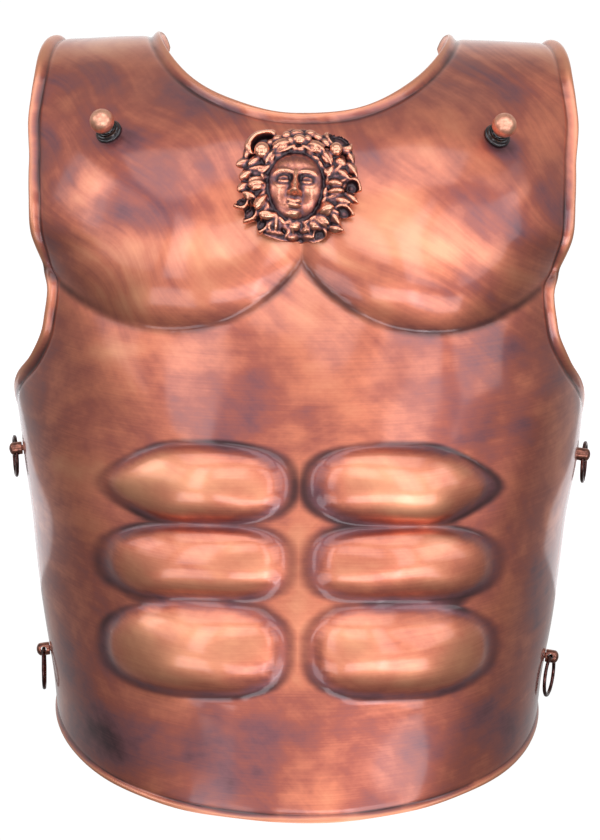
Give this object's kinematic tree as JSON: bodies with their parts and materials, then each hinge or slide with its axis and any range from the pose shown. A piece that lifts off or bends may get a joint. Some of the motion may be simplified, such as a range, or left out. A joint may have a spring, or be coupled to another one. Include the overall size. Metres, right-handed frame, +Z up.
{
  "type": "muscle cuirass breastplate",
  "caption": "Leaning sheet-metal muscle breastplate with embossed chest and belly, rolled rims, a cast mask medallion, shoulder knobs and hanging side rings.",
  "frame": {"origin": "on the resting surface, under the middle of the part's box", "axes": "+Z up, front of the chest towards -Y, +X to the right as seen from the front"},
  "size_m": [0.4025, 0.3142, 0.4493],
  "materials": {
    "antiqued_copper_sheet": "antiqued copper, brushed and wiped, semi-gloss",
    "cast_copper": "cast copper, dark in the recesses, rubbed bright on top",
    "polished_copper": "polished copper",
    "darkened_copper": "darkened copper, satin",
    "black_collar": "gloss black"
  },
  "bodies": {
    "plate": {"breastplate": "antiqued_copper_sheet", "medallion": "cast_copper", "knob_left": "polished_copper", "knob_right": "polished_copper", "collar_left": "black_collar", "collar_right": "black_collar", "post_upper_right": "darkened_copper", "post_upper_left": "darkened_copper", "post_lower_right": "darkened_copper", "post_lower_left": "darkened_copper"},
    "ring_upper_right": {"ring_upper_right": "darkened_copper"},
    "ring_upper_left": {"ring_upper_left": "darkened_copper"},
    "ring_lower_right": {"ring_lower_right": "darkened_copper"},
    "ring_lower_left": {"ring_lower_left": "darkened_copper"}
  },
  "joints": [
    {"name": "ring_upper_right_swing", "type": "hinge", "parent": "plate", "child": "ring_upper_right", "pos_m": [0.19469, 0.04702, 0.17224], "axis": [0.1566, 0.6546, 0.7396], "range_deg": [-180, 14]},
    {"name": "ring_upper_left_swing", "type": "hinge", "parent": "plate", "child": "ring_upper_left", "pos_m": [-0.19503, 0.05022, 0.17119], "axis": [-0.1496, 0.6571, 0.7388], "range_deg": [-14, 180]},
    {"name": "ring_lower_right_swing", "type": "hinge", "parent": "plate", "child": "ring_lower_right", "pos_m": [0.17343, -0.00255, 0.04322], "axis": [0.3246, 0.8915, -0.3159], "range_deg": [-180, 3]},
    {"name": "ring_lower_left_swing", "type": "hinge", "parent": "plate", "child": "ring_lower_left", "pos_m": [-0.175, 0.00943, 0.0393], "axis": [-0.0905, 0.9465, -0.3098], "range_deg": [-11, 178]}
  ]
}
